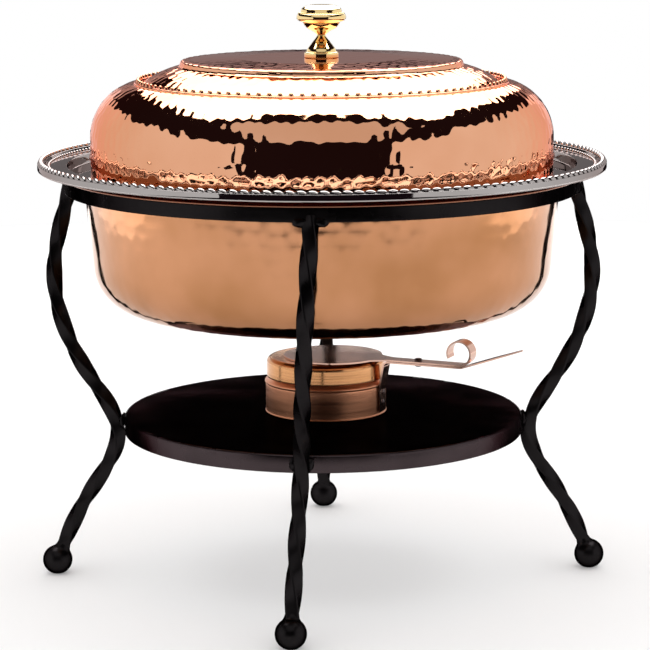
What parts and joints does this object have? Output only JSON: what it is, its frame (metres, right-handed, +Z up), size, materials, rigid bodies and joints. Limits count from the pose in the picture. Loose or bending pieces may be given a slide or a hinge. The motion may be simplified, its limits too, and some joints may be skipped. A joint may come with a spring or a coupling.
{
  "type": "chafing dish",
  "caption": "Round hammered-copper food warmer with domed lid, rope-edged rim, water pan, twisted iron stand with shelf, and a fuel burner with swing snuffer.",
  "frame": {"origin": "on the floor under the middle of the dish, between the four ball feet", "axes": "+Z up along the axis of the dish; -Y is the front, and +X the side that the burner's handle points towards"},
  "size_m": [0.4264, 0.4264, 0.4285],
  "materials": {
    "hammered_copper": "polished hand-hammered copper",
    "pan_copper": "polished, lightly planished copper",
    "burner_copper": "polished copper with fine turning lines",
    "nickel": "polished nickel-plated rim",
    "brass": "polished brass",
    "black_iron": "satin black lacquered wrought iron",
    "tinplate": "plain tinplate",
    "dark_rivet": "darkened steel rivet"
  },
  "bodies": {
    "stand": {"ring_hoop": "black_iron", "shelf_plate": "black_iron", "leg_right": "black_iron", "leg_back": "black_iron", "leg_left": "black_iron", "leg_front": "black_iron", "ball_foot_right": "black_iron", "ball_foot_back": "black_iron", "ball_foot_left": "black_iron", "ball_foot_front": "black_iron", "ring_welds": "black_iron", "shelf_welds": "black_iron"},
    "water_pan": {"water_pan": "pan_copper"},
    "food_pan": {"food_pan": "nickel", "rim_rope_border": "nickel"},
    "lid": {"lid_shell": "hammered_copper", "lid_bead_ring": "hammered_copper", "knob": "brass", "knob_screw": "dark_rivet", "knob_washer": "tinplate"},
    "burner": {"burner_cup": "burner_copper", "burner_cap": "burner_copper", "fuel_can": "tinplate", "handle_strip": "burner_copper", "strip_rivets": "dark_rivet", "pivot_rivet": "dark_rivet"},
    "snuffer": {"snuffer": "burner_copper"}
  },
  "joints": [
    {"name": "water_pan_lift", "type": "slide", "parent": "stand", "child": "water_pan", "axis": [0, 0, 1], "range_m": [0, 0.12]},
    {"name": "food_pan_lift", "type": "slide", "parent": "water_pan", "child": "food_pan", "axis": [0, 0, 1], "range_m": [0, 0.09]},
    {"name": "lid_lift", "type": "slide", "parent": "food_pan", "child": "lid", "axis": [0, 0, 1], "range_m": [0, 0.15]},
    {"name": "burner_draw", "type": "slide", "parent": "stand", "child": "burner", "axis": [0.7071, -0.7071, 0], "range_m": [0, 0.25]},
    {"name": "snuffer_swing", "type": "hinge", "parent": "burner", "child": "snuffer", "pos_m": [0.07173, -0.02461, 0.166], "axis": [0, 0, 1], "range_deg": [0, 80]}
  ]
}
